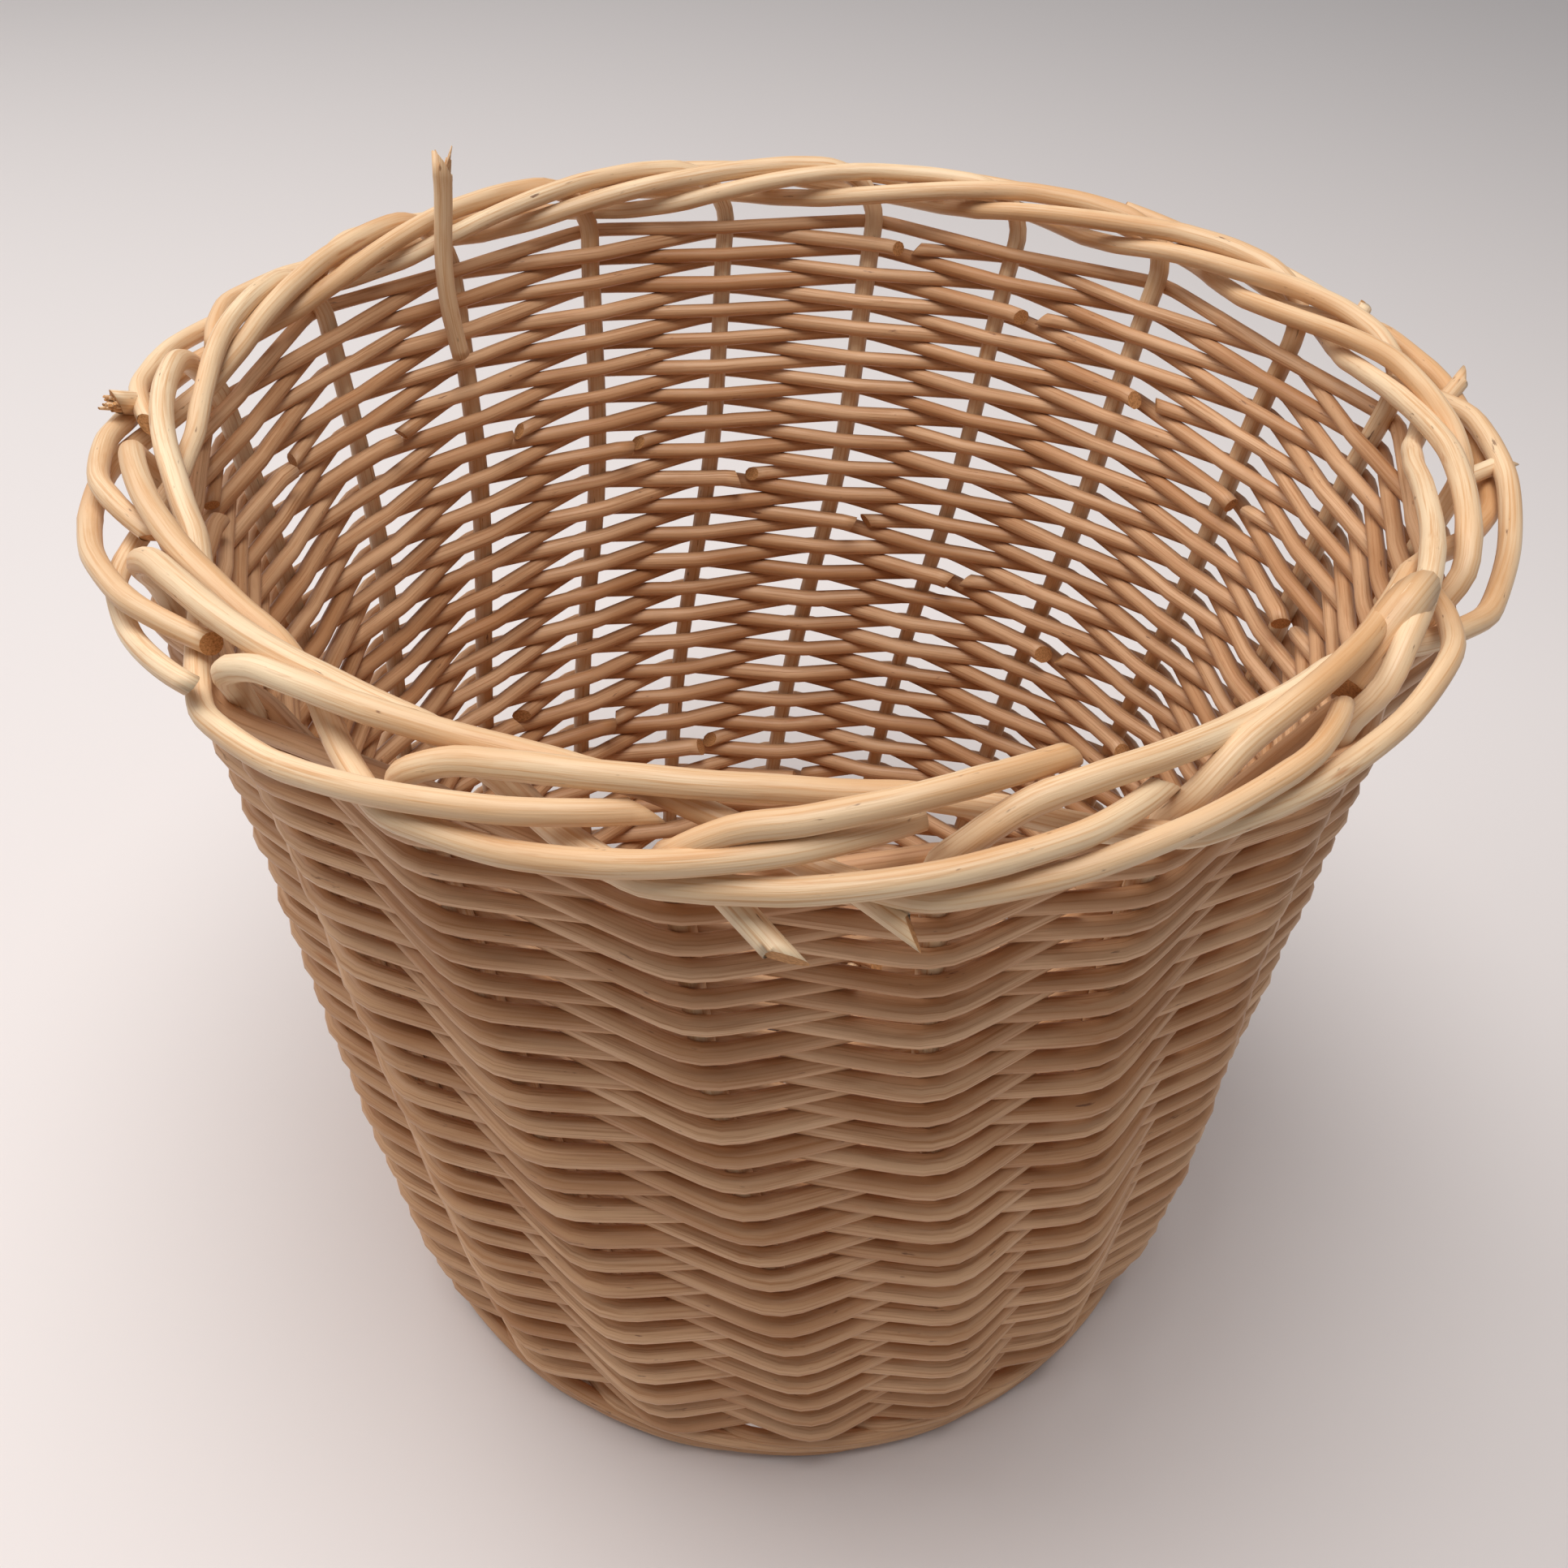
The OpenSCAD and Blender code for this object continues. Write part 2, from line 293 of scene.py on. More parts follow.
def basket_piece(name, rods, nodes, wood, end_wood):
    """One object of woven rods that stands for its CAD nodes."""
    points, faces, grains, tones, ends = [], [], [], [], []
    count = 0
    for rod in rods:
        p, walls, caps, grain = rod.mesh()
        faces += [tuple(f) for f in (walls + count).tolist()]
        ends += [0] * len(walls)
        for cap in caps:
            faces.append(tuple(int(v) + count for v in cap))
            ends.append(1)
        points.append(p)
        grains.append(grain)
        tones.append(np.full(len(p), rod.rng.random()))
        count += len(p)
    mesh = bpy.data.meshes.new(name)
    mesh.from_pydata(np.concatenate(points).tolist(), [], faces)
    mesh.attributes.new("grain", "FLOAT_VECTOR", "POINT").data.foreach_set(
        "vector", np.concatenate(grains).astype(np.float32).ravel())
    mesh.attributes.new("tone", "FLOAT", "POINT").data.foreach_set(
        "value", np.concatenate(tones).astype(np.float32))
    mesh.materials.append(wood)
    mesh.materials.append(end_wood)
    mesh.polygons.foreach_set("material_index", ends)
    mesh.polygons.foreach_set("use_smooth", [e == 0 for e in ends])
    mesh.update()
    piece = bpy.data.objects.new(name, mesh)
    bpy.context.scene.collection.objects.link(piece)
    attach(piece, BODY)
    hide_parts(*nodes)
    return piece


# ---------------------------------------------------------------- materials

def add_node(tree, kind, settings=None, links=None):
    """A node with its settings and the sockets that feed it."""
    node = tree.nodes.new(kind)
    for key, value in (settings or {}).items():
        if isinstance(key, str) and hasattr(node, key):
            setattr(node, key, value)
        else:
            node.inputs[key].default_value = value
    for key, source in (links or {}).items():
        tree.links.new(source, node.inputs[key])
    return node


def blank_material(name):
    material = bpy.data.materials.new(name)
    material.use_nodes = True
    tree = material.node_tree
    tree.nodes.clear()
    return material, tree


def ramp(tree, source, low, high, ease="LINEAR"):
    """0 below low, 1 above high."""
    kind = "SMOOTHSTEP" if ease == "SMOOTH" else "LINEAR"
    node = add_node(tree, "ShaderNodeMapRange",
                    {"interpolation_type": kind, "From Min": low, "From Max": high},
                    {"Value": source})
    return node.outputs["Result"]


def mixed(tree, factor, a, b):
    """One colour laid over another; a and b are sockets or fixed colours."""
    node = add_node(tree, "ShaderNodeMix", {"data_type": "RGBA", "blend_type": "MIX"})
    colour_a, colour_b = node.inputs[6], node.inputs[7]
    for socket, value in ((node.inputs[0], factor), (colour_a, a), (colour_b, b)):
        if isinstance(value, bpy.types.NodeSocket):
            tree.links.new(value, socket)
        elif isinstance(value, float):
            socket.default_value = value
        else:
            socket.default_value = (*value, 1)
    return node.outputs[2]


def peeled_willow(name, pale, dark, colours, speck):
    """Willow rod, boiled and stripped of its bark, left bare.

    The eye gets a satin cream skin, fine fibres along the rod, a tan cast that comes and goes,
    small dark bud scars, and now and then a rusty stain where bark clung.
    """
    material, tree = blank_material(name)
    grain = add_node(tree, "ShaderNodeAttribute", {"attribute_name": "grain"})
    tone = add_node(tree, "ShaderNodeAttribute", {"attribute_name": "tone"})

    def pattern(along_mm, across_mm, detail=2.0, rough=0.5):
        stretch = add_node(tree, "ShaderNodeVectorMath",
                           {"operation": "MULTIPLY"}, {0: grain.outputs["Vector"]})
        stretch.inputs[1].default_value = (1 / (along_mm * MM), 1 / (across_mm * MM), 1 / (across_mm * MM))
        return add_node(tree, "ShaderNodeTexNoise", {"Scale": 1.0, "Detail": detail, "Roughness": rough},
                        {"Vector": stretch.outputs[0]}).outputs["Fac"]

    # Fibres are about 0.2 mm wide; drawn at 0.5 mm so that they show
    fibre = pattern(30, 0.5, detail=4.0, rough=0.65)
    cast = pattern(60, 9, detail=2.0)
    band = pattern(14, 2.6, detail=3.0, rough=0.6)
    bruise = pattern(6.5, 1.3, detail=3.0, rough=0.6)
    stain_field = pattern(22, 3.0, detail=3.0, rough=0.65)

    shade = add_node(tree, "ShaderNodeMath", {"operation": "MULTIPLY_ADD", 1: 0.55, 2: -0.1},
                     {0: tone.outputs["Fac"]})
    streak = add_node(tree, "ShaderNodeMath", {"operation": "ADD"},
                      {0: ramp(tree, cast, 0.38, 0.72, "SMOOTH"), 1: shade.outputs[0]})
    streak_mix = add_node(tree, "ShaderNodeMath", {"operation": "MULTIPLY", 1: 0.62, "use_clamp": True},
                          {0: streak.outputs[0]})
    ground = mixed(tree, streak_mix.outputs[0], pale, dark)
    fine = add_node(tree, "ShaderNodeMath", {"operation": "MULTIPLY", 1: 0.8},
                    {0: ramp(tree, fibre, 0.47, 0.68)})
    ground = mixed(tree, fine.outputs[0], ground, dark)
    patch = add_node(tree, "ShaderNodeMath", {"operation": "MULTIPLY", 1: 0.4},
                     {0: ramp(tree, band, 0.56, 0.8)})
    ground = mixed(tree, patch.outputs[0], ground, dark)
    rust = add_node(tree, "ShaderNodeMath", {"operation": "MULTIPLY", 1: 0.65},
                    {0: ramp(tree, stain_field, 0.66, 0.78, "SMOOTH")})
    ground = mixed(tree, rust.outputs[0], ground, tuple(colours.stain))
    dot = add_node(tree, "ShaderNodeMath", {"operation": "MULTIPLY", 1: speck},
                   {0: ramp(tree, bruise, 0.67, 0.76, "SMOOTH")})
    ground = mixed(tree, dot.outputs[0], ground, tuple(colours.knot))

    gloss = add_node(tree, "ShaderNodeMapRange",
                     {"From Min": 0.3, "From Max": 0.75, "To Min": 0.42, "To Max": 0.62},
                     {"Value": fibre})
    relief = add_node(tree, "ShaderNodeMath", {"operation": "ADD"}, {0: fibre, 1: band})
    bump = add_node(tree, "ShaderNodeBump", {"Strength": 0.6, "Distance": 0.15 * MM},
                    {"Height": relief.outputs[0]})
    skin = add_node(tree, "ShaderNodeBsdfPrincipled",
                    {"IOR": 1.5, "Sheen Weight": 0.05},
                    {"Base Color": ground, "Roughness": gloss.outputs[0], "Normal": bump.outputs[0]})
    add_node(tree, "ShaderNodeOutputMaterial", links={"Surface": skin.outputs[0]})
    return material


def cut_willow(colours):
    """The knife-cut end of a rod: open pores, paler wood round a brown pith, quite matt."""
    material, tree = blank_material("willow_end_grain")
    grain = add_node(tree, "ShaderNodeAttribute", {"attribute_name": "grain"})
    scale = add_node(tree, "ShaderNodeVectorMath", {"operation": "SCALE", "Scale": 1 / (0.35 * MM)},
                     {0: grain.outputs["Vector"]})
    pores = add_node(tree, "ShaderNodeTexNoise", {"Scale": 1.0, "Detail": 3.0},
                     {"Vector": scale.outputs[0]})
    wood = mixed(tree, ramp(tree, pores.outputs["Fac"], 0.4, 0.7), tuple(colours.tan), tuple(colours.pith))
    skin = add_node(tree, "ShaderNodeBsdfPrincipled", {"Roughness": 0.85, "IOR": 1.5},
                    {"Base Color": wood})
    add_node(tree, "ShaderNodeOutputMaterial", links={"Surface": skin.outputs[0]})
    return material


def woods():
    """The willow finishes, made once."""
    c = bpy.context.scene.basket_colours
    made = bpy.data.materials
    if "willow_end_grain" not in made:
        peeled_willow("peeled_willow_stake", tuple(c.cream), tuple(c.tan), c, speck=0.8)
        # The weaver finish is the stake willow with darker, browner colours: painted shade on the wall, foot
        # and base rods.
        peeled_willow("peeled_willow_weaver_shaded", tuple(c.shaded_weaver_pale), tuple(c.shaded_weaver_dark), c, speck=0.7)
        cut_willow(c)
    return made["peeled_willow_stake"], made["peeled_willow_weaver_shaded"], made["willow_end_grain"]


# ---------------------------------------------------------------- the woven wall

def weaver_thickness(k):
    return (row_z(k + 1) - row_z(k)) * sizes().tightness


def row_wave(angle, z):
    """Rows rise and fall a little together round the basket."""
    return 0.9 * MM * math.sin(2 * angle + 1.0 + 9 * z) + 0.5 * MM * math.sin(5 * angle + 30 * z)


def weaver(k):
    """The rod of row k: outside one stake, inside the next, once round, with its ends inside."""
    s = sizes()
    rng = random.Random(700 + k)
    z = (row_z(k) + row_z(k + 1)) / 2
    thick = weaver_thickness(k) * rng.uniform(0.95, 1.05)
    start = 7 * k + 3 if k % 2 == 0 else 7 * k + 2
    start += (start + k + 1) % 2
    path = []
    lie = s.stake_d / 2 + thick * 0.46
    for n in range(STAKES + 1):
        i = start + n
        side = 1 if (i + k) % 2 == 0 else -1
        angle = stake_angle(i % STAKES, z) + 2 * math.pi * (i // STAKES)
        off = side * (lie + rng.uniform(-0.15, 0.2) * MM)
        r = ring_r(z)
        drift = rng.uniform(-0.25, 0.25) * MM
        hold = 0.75 * s.stake_d / r
        for step, inward in ((-hold, 0.55), (0, 0.0), (hold, 0.55)):
            a = angle + step
            path.append(at(r + off - side * inward * MM, a, z + row_wave(a, z) + drift))
    first, last = path[0], path[-1]
    head = first + (first - path[1]) * 1.4 - at(2.2 * MM, math.atan2(first[1], first[0]), 0)
    tail = path[:-3]
    gap = path[-3] - tail[-1]
    end = tail[-1] + gap * 0.72
    full = [head] + tail + [end]
    smooth = resampled(eased(resampled(full, 2.0 * MM), 2), 3.6 * MM)
    taper = np.linspace(1.08, 0.9, len(smooth))
    return Rod(smooth, thick / 2 * taper, 9000 + k, sides=10, up=UP, slant=(0.5, 0.8)).swell_at_buds(
        spacing=60 * MM, height=0.04)


class BASKET_OT_siding(bpy.types.Operator):
    """Weave the wall: 48 rods of randing, six rows to a band"""

    bl_idname = "basket.siding"
    bl_label = "Siding"

    def execute(self, context):
        _, wood, end_wood = woods()
        rows = sizes().band_rows
        for band in range(BANDS):
            rods = [weaver(band * rows + k) for k in range(rows)]
            basket_piece(f"siding_{band + 1}_weavers", rods, [f"siding_{band + 1}"], wood, end_wood)
        return {"FINISHED"}


# ---------------------------------------------------------------- stakes and border

# How a turned-down stake runs: stake spaces covered, then how far out and how high, in rods
# (out in steps of 1.94 rods).
# Inside the next two stakes, out beneath the rods that lie on it, in front of two, in at the fifth.
BORDER_KEYS = np.array([
    [0, 0.18, -0.2], [0.12, 0.08, 0.9], [0.3, -0.08, 1.7], [0.6, -0.27, 1.9], [1, -0.5, 1.85],
    [1.5, -0.82, 1.45], [2, -0.98, 0.9], [2.35, -0.72, 0.25], [2.65, -0.05, -0.3], [3, 0.72, -0.48],
    [3.5, 0.86, 0], [4, 0.86, 0.75], [4.5, 0.62, 1.2], [4.75, 0.15, 1.0], [5, -0.45, 0.6],
    [5.5, -0.8, 0.3]])
# The stake whose cut end lies on top of the front, and those that end early elsewhere
ON_TOP = 15
SHORT_RUNS = {ON_TOP: 1.55, 3: 4.4, 9: 4.1, 19: 4.45}


def border_path(i, run, start_angle, spacing=0.04):
    """The top of stake i where it lies in the border."""
    s = sizes()
    rng = random.Random(300 + i)
    side = 1.94 * s.stake_d
    low = HEIGHT - s.stake_d / 2 - 1.9 * s.stake_d
    border_r = s.mouth_r - 1.5 * MM
    lift, push, phase = rng.uniform(-0.1, 0.12), rng.uniform(-0.1, 0.1), rng.uniform(0, 6.3)
    points = []
    for t in np.arange(0.08, run, spacing):
        out = np.interp(t, BORDER_KEYS[:, 0], BORDER_KEYS[:, 1])
        up = np.interp(t, BORDER_KEYS[:, 0], BORDER_KEYS[:, 2])
        free = min(1, t)
        if i == ON_TOP:
            up += 0.75 * min(1, t / 1.2)
            out += 0.45 * (1 - abs(t - 0.5)) + 0.12
        out += free * (push + 0.07 * math.sin(1.9 * t + phase))
        up += free * (lift + 0.06 * math.sin(2.3 * t + 2 * phase))
        points.append(at(border_r + side * out, start_angle + STEP * t, low + s.stake_d * up))
    return points


def stake_rod(i):
    """Stake i: pushed into the base, turned up through the wall and down into the border."""
    s = sizes()
    rng = random.Random(200 + i)
    foot_angle = stake_angle(i, 0)
    base_in = s.foot_r - TURN_UP_IN
    path = [at(base_in - s.butt_len, foot_angle, BASE_Z), at(base_in, foot_angle, BASE_Z),
            at(s.foot_r - BEND_IN, foot_angle, BASE_Z + BEND_RISE)]
    for z in np.linspace(SIDING_LOW, SIDING_HIGH + 1.2 * MM, 40):
        path.append(at(ring_r(z), stake_angle(i, z), z))
    top_angle = stake_angle(i, SIDING_HIGH)
    run = SHORT_RUNS.get(i, s.border_run + rng.uniform(-0.15, 0.1))
    path += border_path(i, run, top_angle)
    path = eased(resampled(path, 1.2 * MM), 5)
    path = resampled(path, 2.4 * MM)
    n = len(path)
    wall_part = int(n * 0.52)
    path[wall_part:] = wobble(path, 0.3 * MM, 400 + i)[wall_part:]
    thick = s.stake_d * rng.uniform(0.98, 1.1) / 2
    taper = np.interp(np.arange(n), [0, wall_part, n - 1], [0.98, 1.03, 0.86])
    return Rod(path, thick * taper, 2000 + i, sides=16, slant=(0.2, rng.uniform(0.4, 1.8))).swell_at_buds()


def odd_end(angle, r, z, way, reach, thick, seed, frayed=False):
    """A short rod with a cut or torn end that sticks out of the border, placed by its tip."""
    out = np.array([math.cos(angle), math.sin(angle), 0])
    round_way = np.array([-math.sin(angle), math.cos(angle), 0])
    line = unit(way[0] * out + way[1] * round_way + way[2] * UP)
    tip = at(r, angle, z)
    path = [tip + line * t for t in np.linspace(-reach, 0, 12)]
    rods = [Rod(path, thick / 2 * np.linspace(1, 0.96, 12), seed, sides=16, slant=(0.2, 1.5))]
    if frayed:
        rng = random.Random(seed)
        for _ in range(22):
            turn, far = rng.uniform(0, 2 * math.pi), thick / 2 * rng.uniform(0.2, 0.9)
            first = unit(np.cross(line, UP))
            root = tip + far * (math.cos(turn) * first + math.sin(turn) * np.cross(line, first))
            lean = unit(line + 0.35 * (root - tip) / thick)
            strand = [root + lean * t for t in np.linspace(-2 * MM, rng.uniform(0.8, 3.2) * MM, 4)]
            rods.append(Rod(strand, np.linspace(0.75, 0.3, 4) * MM, rng.random(), sides=6))
    return rods


# Short rods whose ends show at the border: the stake whose mesh they are kept in (from 0), angle
# in degrees, radius, height, way out / round / up, length, thickness, and whether the end is torn
ODD_ENDS = [
    (10, -88.5, 136.5, 213.0, (0.72, 0.80, -0.42), 20, 4.4, False),
    (11, -81.0, 134.5, 215.8, (0.72, 0.80, -0.25), 18, 3.8, False),
    (18, -35.0, 121.5, 231.0, (0.15, 0.75, 0.55), 17, 7.6, True),
    (7, 187.0, 131.0, 229.0, (0.25, 0.80, 0.45), 12, 4.6, True),
    (4, 8.0, 134.5, 228.0, (0.70, 0.60, 0.40), 10, 3.6, False),
    (3, 24.0, 133.5, 227.5, (0.75, 0.50, 0.35), 9, 3.4, False),
    (2, -4.0, 135.0, 225.0, (0.80, 0.50, 0.15), 9, 3.4, False),
]


class BASKET_OT_stakes(bpy.types.Operator):
    """Set up the twenty stakes and roll their tops into the border"""

    bl_idname = "basket.stakes"
    bl_label = "Stakes and border"

    def execute(self, context):
        wood, _, end_wood = woods()
        for i in range(STAKES):
            rods = [stake_rod(i)]
            for owner, angle, r, z, way, reach, thick, frayed in ODD_ENDS:
                if owner == i:
                    rods += odd_end(math.radians(angle), r * MM, z * MM, way, reach * MM, thick * MM,
                                    500 + i, frayed)
            basket_piece(f"stake_{i + 1:02d}_rod", rods, [f"stake_{i + 1:02d}"],
                         wood, end_wood)
        return {"FINISHED"}


class BASKET_OT_broken_stub(bpy.types.Operator):
    """Add the stake that snapped off above the border, with its split end"""

    bl_idname = "basket.broken_stub"
    bl_label = "Broken stub"

    def execute(self, context):
        wood, _, end_wood = woods()
        s = sizes()
        low, high = (np.array(c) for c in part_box("broken_stub"))
        middle = (low + high) / 2
        angle = math.atan2(middle[1], middle[0])
        r = math.hypot(middle[0], middle[1])
        path = [at(r + (0.5 - abs(t - 0.5)) * 2 * MM, angle + 0.012 * math.sin(5 * t),
                   low[2] + (high[2] - low[2]) * t) for t in np.linspace(0, 0.9, 14)]
        rods = [Rod(eased(resampled(path, 2 * MM), 2), s.stake_d / 2, 51, sides=16,
                    slant=(0.2, 1.8)).swell_at_buds()]
        tip = np.array(path[-1])
        rng = random.Random(52)
        for _ in range(7):
            lean = np.array([rng.uniform(-1, 1), rng.uniform(-1, 1), 2.4])
            root = tip + np.array([rng.uniform(-1, 1), rng.uniform(-1, 1), -2]) * 1.1 * MM
            splinter = [root + unit(lean) * t * MM for t in np.linspace(0, rng.uniform(4, 7), 5)]
            rods.append(Rod(splinter, np.linspace(0.7, 0.15, 5) * MM, rng.random(), sides=6))
        basket_piece("broken_stub_rod", rods, ["broken_stub"], wood, end_wood)
        return {"FINISHED"}


# ---------------------------------------------------------------- foot and base

WALE_RODS = 4
# Where a wale rod is against the stakes that it has passed: side of the stake, then height in rods
WALE_KEYS = np.array([[0, -1, 0], [0.5, 0.75, 1.2], [1, 1, 1], [2, 1, 0], [3, 1, -1], [3.5, 0.75, -1.2],
                      [4, -1, 0]])


def wale_rod(j):
    """One of four rods wound round the foot: in front of three stakes, behind the fourth."""
    s = sizes()
    z_mid = s.wale_d * 1.63
    path = []
    for t in np.arange(0, STAKES + 0.06, 0.0625):
        u = (t - j) % WALE_RODS
        side = np.interp(u, WALE_KEYS[:, 0], WALE_KEYS[:, 1])
        z = z_mid + np.interp(u, WALE_KEYS[:, 0], WALE_KEYS[:, 2]) * s.wale_d * 0.96
        base = int(math.floor(t))
        angle = (1 - (t - base)) * stake_angle(base % STAKES, z) + (t - base) * (
            stake_angle((base + 1) % STAKES, z) + (2 * math.pi if (base + 1) % STAKES == 0 else 0))
        if base >= STAKES:
            angle = stake_angle(0, z) + 2 * math.pi
        path.append(at(ring_r(z) + side * (s.stake_d + s.wale_d * 0.9) / 2, angle, z))
    path = resampled(eased(path, 3), 3.0 * MM)
    return Rod(path, s.wale_d / 2, 610 + j, sides=12, up=UP).swell_at_buds(height=0.04)


class BASKET_OT_foot_wale(bpy.types.Operator):
    """Wind the four-rod wale round the foot, which the basket stands on"""

    bl_idname = "basket.foot_wale"
    bl_label = "Foot wale"

    def execute(self, context):
        _, wood, end_wood = woods()
        rods = [wale_rod(j) for j in range(WALE_RODS)]
        basket_piece("foot_wale_rods", rods, ["foot_wale"], wood, end_wood)
        return {"FINISHED"}


def base_row(q, r):
    """Row q of the base: over one stick, under the next."""
    s = sizes()
    ends = 2 * BASE_STICKS
    first = s.first_stake - STEP / 2
    on_butts = r > s.foot_r - TURN_UP_IN - s.butt_len
    path = []
    d = s.base_weaver_d
    for n in range(ends + 1):
        side = 1 if (n + q) % 2 == 0 else -1
        angle = first + 2 * math.pi / ends * n
        stick = s.stick_d / 2 if n % 5 not in (2, 3) else s.stick_d * 0.31
        high = side * (stick + d * 0.45)
        beside = side * (s.stake_d / 2 + d * 0.42)
        if on_butts:
            spots = [(-STEP / 2, beside), (0, high), (STEP / 2, beside)]
        else:
            hold = 2.2 * MM / r
            spots = [(-hold, high * 0.9), (0, high), (hold, high * 0.9)]
        for step, z in spots:
            path.append(at(r, angle + step, BASE_Z + z))
    path = path[1:-1]
    dense = resampled(path, 2.0 * MM)
    radial = np.linalg.norm(dense[:, :2], axis=1)
    dense[:, :2] *= (1 + 0.65 * (r - radial) / radial)[:, None]
    smooth = resampled(eased(dense, 2), 3.2 * MM)
    return Rod(smooth, d / 2 * np.linspace(1.05, 0.93, len(smooth)), 800 + q, sides=10, up=UP).swell_at_buds(
        height=0.04)


class BASKET_OT_base_weave(bpy.types.Operator):
    """Weave the round base on the ends of the base sticks"""

    bl_idname = "basket.base_weave"
    bl_label = "Base weave"

    def execute(self, context):
        _, wood, end_wood = woods()
        s = sizes()
        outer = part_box("base_weave")[1][0] + 0.5 * MM
        inner = s.slath_r + s.base_weaver_d / 2
        count = int((outer - inner) / (s.base_weaver_d * 0.97)) + 1
        rods = [base_row(q, r) for q, r in enumerate(np.linspace(inner, outer, count))]
        basket_piece("base_weave_rods", rods, ["base_weave"], wood, end_wood)
        return {"FINISHED"}


def base_stick_rods(number):
    """A base stick; the first three are split at the middle and the last two pass through them."""
    s = sizes()
    first = s.first_stake - STEP / 2
    fan = 2 * math.pi / (2 * BASE_STICKS)
    pierced_gap = s.stick_d + 0.8 * MM
    thin_d = 0.62 * s.stick_d
    pierced = number <= 3
    across = 0 if pierced else math.pi / 2
    if pierced:
        offset = (number - 2) * pierced_gap
        ends = {1: (6, 9), 2: (5, 0), 3: (4, 1)}[number]
    else:
        offset = (thin_d + 0.7 * MM) / 2 * (1 if number == 4 else -1)
        ends = {4: (7, 3), 5: (8, 2)}[number]
    turn = Matrix.Rotation(first + across, 3, "Z")
    straight = pierced_gap * 1.7
    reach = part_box("base_weave")[1][0]
    inner = s.slath_r - 1 * MM
    up = np.array([0, 0, BASE_Z])
    middle = [np.array(turn @ Vector((x, offset, 0))) + up for x in (-straight, 0, straight)]
    path = [at(reach, first + fan * ends[0], BASE_Z), at(inner, first + fan * ends[0], BASE_Z), *middle,
            at(inner, first + fan * ends[1], BASE_Z), at(reach, first + fan * ends[1], BASE_Z)]
    path = resampled(eased(resampled(path, 1.5 * MM), 4), 2.5 * MM)
    r = s.stick_d / 2 if pierced else thin_d / 2
    if not pierced:
        return [Rod(path, r, 30 + number, sides=14).swell_at_buds()]
    # The split halves bow apart over the sticks that pass through
    along = np.array(turn @ Vector((1, 0, 0)))
    x = path @ along
    window = np.clip(1 - np.abs(x) / (2.2 * thin_d), 0, 1) ** 0.7
    halves = []
    for side in (1, -1):
        near = window > 0
        part = path[near].copy()
        part[:, 2] += side * (0.28 * s.stick_d + window[near] * thin_d * 0.45)
        halves.append(Rod(part, r * 0.55, 40 + number, sides=12))
    lower, upper = path[x < -1.7 * thin_d], path[x > 1.7 * thin_d]
    if ends[0] == 5 or np.dot(path[0], along) < 0:
        outer_parts = [lower, upper]
    else:
        outer_parts = [upper, lower]
    return halves + [Rod(p, r, 30 + number, sides=14).swell_at_buds() for p in outer_parts]


class BASKET_OT_base_sticks(bpy.types.Operator):
    """Cross the five base sticks, two of them passed through slits in the other three"""

    bl_idname = "basket.base_sticks"
    bl_label = "Base sticks"

    def execute(self, context):
        wood, _, end_wood = woods()
        for number in range(1, BASE_STICKS + 1):
            basket_piece(f"base_stick_{number}_rod", base_stick_rods(number), [f"base_stick_{number}"],
                         wood, end_wood)
        return {"FINISHED"}


# ---------------------------------------------------------------- stage

def studio_paper(colours):
    """Seamless studio paper: matt, pale and plain."""
    material, tree = blank_material("studio_paper")
    skin = add_node(tree, "ShaderNodeBsdfPrincipled",
                    {"Base Color": (*tuple(colours.floor), 1), "Roughness": 0.9, "IOR": 1.45})
    add_node(tree, "ShaderNodeOutputMaterial", links={"Surface": skin.outputs[0]})
    return material


def area_light(name, place, aim, size, power, tint):
    data = bpy.data.lights.new(name, "AREA")
    data.shape = "DISK"
    data.size = size
    data.energy = power
    data.color = tint
    light = bpy.data.objects.new(name, data)
    light.location = place
    light.rotation_euler = (Vector(aim) - Vector(place)).to_track_quat("-Z", "Y").to_euler()
    bpy.context.scene.collection.objects.link(light)


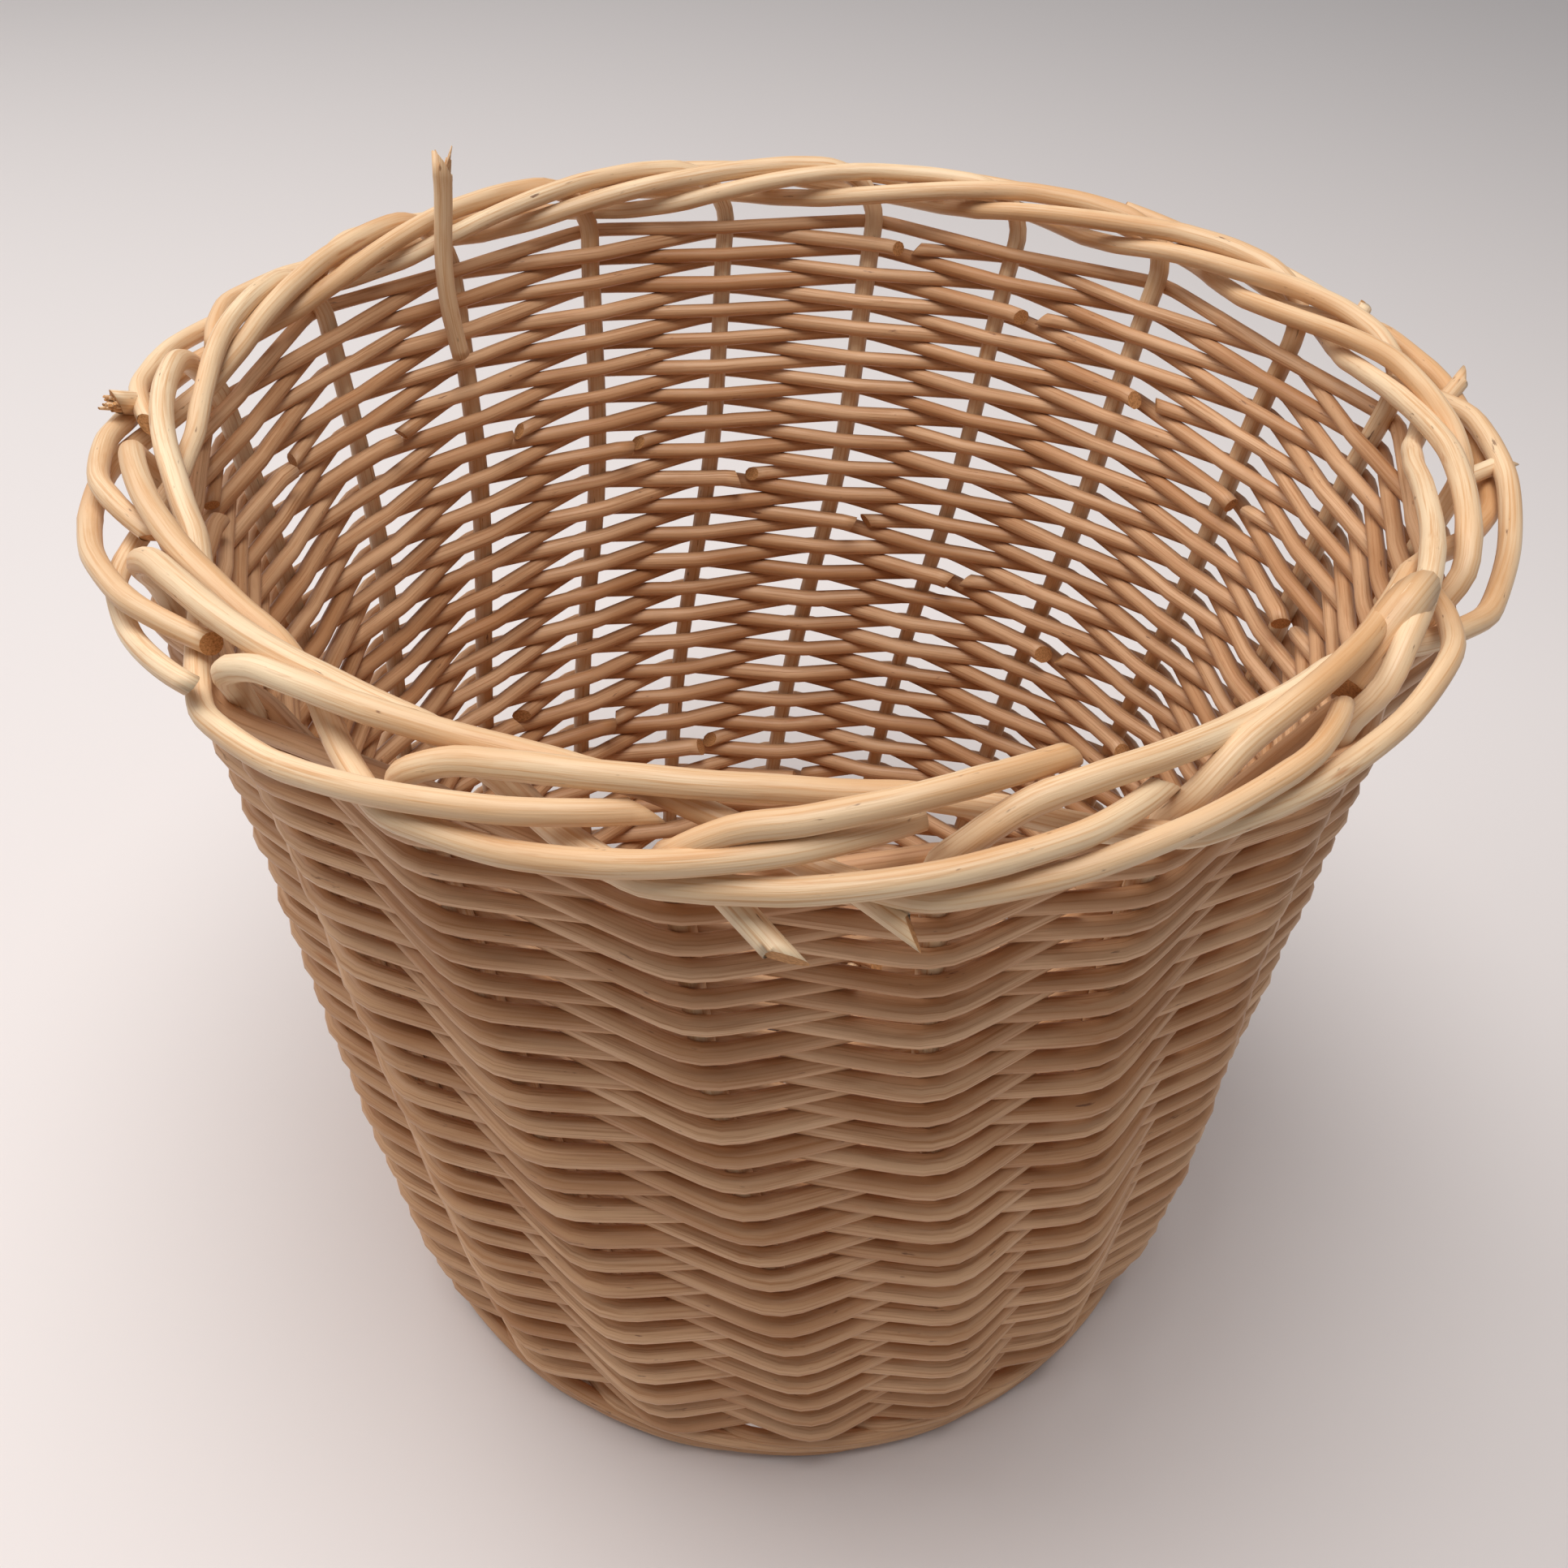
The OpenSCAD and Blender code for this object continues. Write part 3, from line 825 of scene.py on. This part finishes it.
class BASKET_OT_stage(bpy.types.Operator):
    """Lay the pale floor, hang the soft lights and set up the camera"""

    bl_idname = "basket.stage"
    bl_label = "Stage"

    def execute(self, context):
        scene = context.scene
        view = scene.basket_view
        floor_half = 4.0
        corners = [(-floor_half, -floor_half, 0), (floor_half, -floor_half, 0),
                   (floor_half, floor_half, 0), (-floor_half, floor_half, 0)]
        mesh = bpy.data.meshes.new("studio_floor")
        mesh.from_pydata(corners, [], [(0, 1, 2, 3)])
        mesh.materials.append(studio_paper(scene.basket_colours))
        floor = bpy.data.objects.new("studio_floor", mesh)
        scene.collection.objects.link(floor)

        area_light("soft_key", (-0.95, 0.35, 1.2), (0, 0, 0.1), 1.4, view.key_power, (1.0, 0.97, 0.95))
        area_light("soft_top", (0.0, -0.14, 1.2), (0, 0.05, 0.1), 0.7, view.top_power, (1.0, 0.97, 0.95))
        world = bpy.data.worlds.new("studio_air")
        world.use_nodes = True
        world.node_tree.nodes["Background"].inputs["Color"].default_value = (*linear("E8EAEE"), 1)
        world.node_tree.nodes["Background"].inputs["Strength"].default_value = view.fill
        scene.world = world
        scene.view_settings.view_transform = "Standard"

        look = Vector((math.sin(view.yaw) * math.cos(view.pitch),
                       math.cos(view.yaw) * math.cos(view.pitch), -math.sin(view.pitch)))
        level = Vector((math.cos(view.yaw), -math.sin(view.yaw), 0))
        above = level.cross(look)
        right = math.cos(view.roll) * level + math.sin(view.roll) * above
        top = -math.sin(view.roll) * level + math.cos(view.roll) * above
        data = bpy.data.cameras.new("camera")
        data.lens = view.lens
        data.sensor_width = 36
        camera = bpy.data.objects.new("camera", data)
        turn = Matrix((right, top, -look)).transposed().to_4x4()
        camera.matrix_world = Matrix.Translation(view.place) @ turn
        scene.collection.objects.link(camera)
        scene.camera = camera
        return {"FINISHED"}


class BASKET_PT_panel(bpy.types.Panel):
    """Lists the pieces of the basket in the order in which they are made"""

    bl_idname = "BASKET_PT_panel"
    bl_label = "Willow Basket"
    bl_space_type = "VIEW_3D"
    bl_region_type = "UI"
    bl_category = "Basket"

    def draw(self, context):
        for group in (context.scene.basket_sizes, context.scene.basket_colours, context.scene.basket_view):
            column = self.layout.column()
            for name in group.__annotations__:
                column.prop(group, name)
        for operator in OPERATORS:
            self.layout.operator(operator.bl_idname)


OPERATORS = (BASKET_OT_base_sticks, BASKET_OT_base_weave, BASKET_OT_foot_wale, BASKET_OT_siding,
             BASKET_OT_stakes, BASKET_OT_broken_stub, BASKET_OT_stage)
GROUPS = {"basket_sizes": BasketSizes, "basket_colours": BasketColours, "basket_view": BasketView}


def register():
    for cls in (*GROUPS.values(), *OPERATORS, BASKET_PT_panel):
        bpy.utils.register_class(cls)
    for name, cls in GROUPS.items():
        setattr(bpy.types.Scene, name, PointerProperty(type=cls))


def unregister():
    for name in GROUPS:
        delattr(bpy.types.Scene, name)
    for cls in (BASKET_PT_panel, *reversed(OPERATORS), *reversed(list(GROUPS.values()))):
        bpy.utils.unregister_class(cls)


def main():
    register()
    bpy.ops.basket.base_sticks()
    bpy.ops.basket.base_weave()
    bpy.ops.basket.foot_wale()
    bpy.ops.basket.siding()
    bpy.ops.basket.stakes()
    bpy.ops.basket.broken_stub()
    bpy.ops.basket.stage()


if __name__ == "__main__":
    main()
